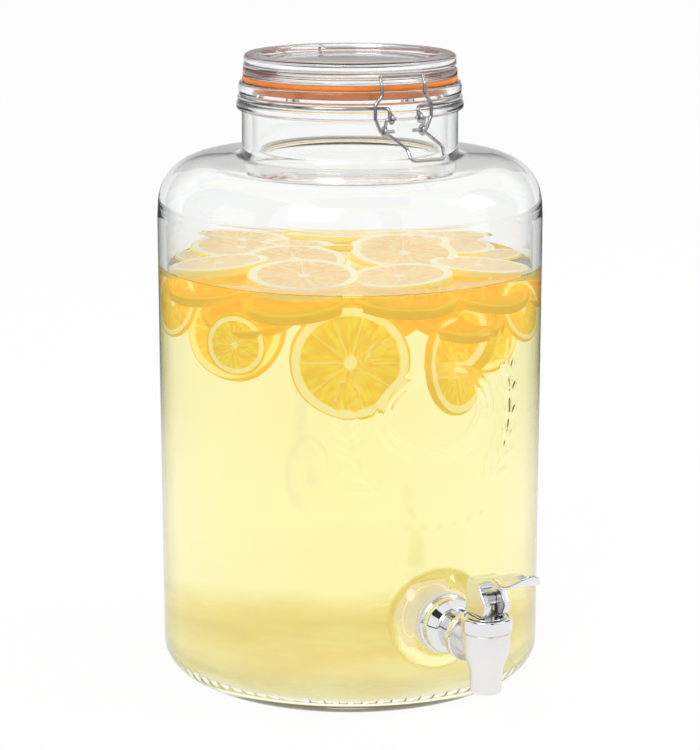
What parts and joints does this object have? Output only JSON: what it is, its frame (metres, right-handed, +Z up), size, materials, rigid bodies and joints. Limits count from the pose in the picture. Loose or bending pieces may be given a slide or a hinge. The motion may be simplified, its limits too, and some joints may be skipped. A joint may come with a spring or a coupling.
{
  "type": "drink dispenser",
  "caption": "Large clear glass drink dispenser jar with clip-top glass lid, orange gasket, sprung wire clamp and chrome lever tap.",
  "frame": {"origin": "centre of the round foot on the plane the jar stands on", "axes": "+Z up along the jar axis, -Y towards the tap and the clamp, +X to the right seen from the tap"},
  "size_m": [0.208, 0.3074, 0.3383],
  "materials": {
    "clear_glass": "clear flint glass of the jar",
    "lid_glass": "clear flint glass of the lid",
    "orange_rubber": "orange rubber gasket",
    "bright_wire": "plated spring wire",
    "chrome": "bright chrome plate",
    "satin_silver": "satin silver-white plated plastic",
    "clear_silicone": "translucent silicone",
    "steel": "stainless steel",
    "white_plastic": "white nylon"
  },
  "bodies": {
    "jar": {"glass_base": "clear_glass", "glass_wall": "clear_glass", "glass_shoulder": "clear_glass", "glass_neck": "clear_glass", "neck_wire": "bright_wire", "outer_washer": "clear_silicone", "inner_washer": "clear_silicone", "lock_nut": "white_plastic", "tap_flange": "chrome", "tap_shank": "chrome", "tap_barrel": "satin_silver", "tap_collar": "chrome", "stem_guide": "white_plastic", "return_spring": "steel"},
    "lid": {"glass_lid": "lid_glass", "lid_gasket": "orange_rubber", "lid_wire": "bright_wire"},
    "lever": {"clamp_lever": "bright_wire"},
    "bail": {"clamp_bail": "bright_wire"},
    "stem": {"valve_stem": "steel", "seat_cup": "clear_silicone", "lever_pin": "chrome"},
    "tap_handle": {"tap_lever": "chrome"}
  },
  "joints": [
    {"name": "lid_hinge", "type": "hinge", "parent": "jar", "child": "lid", "pos_m": [0, 0.06255, 0.3154], "axis": [-1, 0, 0], "range_deg": [0, 105]},
    {"name": "clamp_lever_hinge", "type": "hinge", "parent": "jar", "child": "lever", "pos_m": [0, -0.06422, 0.3105], "axis": [-1, 0, 0], "range_deg": [-8, 75]},
    {"name": "clamp_bail_hinge", "type": "hinge", "parent": "lever", "child": "bail", "pos_m": [0, -0.06162, 0.3036], "axis": [-1, 0, 0], "range_deg": [-93.75, 10]},
    {"name": "stem_lift", "type": "slide", "parent": "jar", "child": "stem", "axis": [0, 0, 1], "range_m": [0, 0.003], "deforming": ["return_spring"]},
    {"name": "tap_lever_hinge", "type": "hinge", "parent": "stem", "child": "tap_handle", "pos_m": [0, -0.1544, 0.07775], "axis": [1, 0, 0], "range_deg": [0, 40]}
  ],
  "couplings": [
    {"joint": "clamp_bail_hinge", "follows": "clamp_lever_hinge", "ratio": -1.25},
    {"joint": "stem_lift", "follows": "tap_lever_hinge", "m_per_rad": 0.0042972}
  ]
}
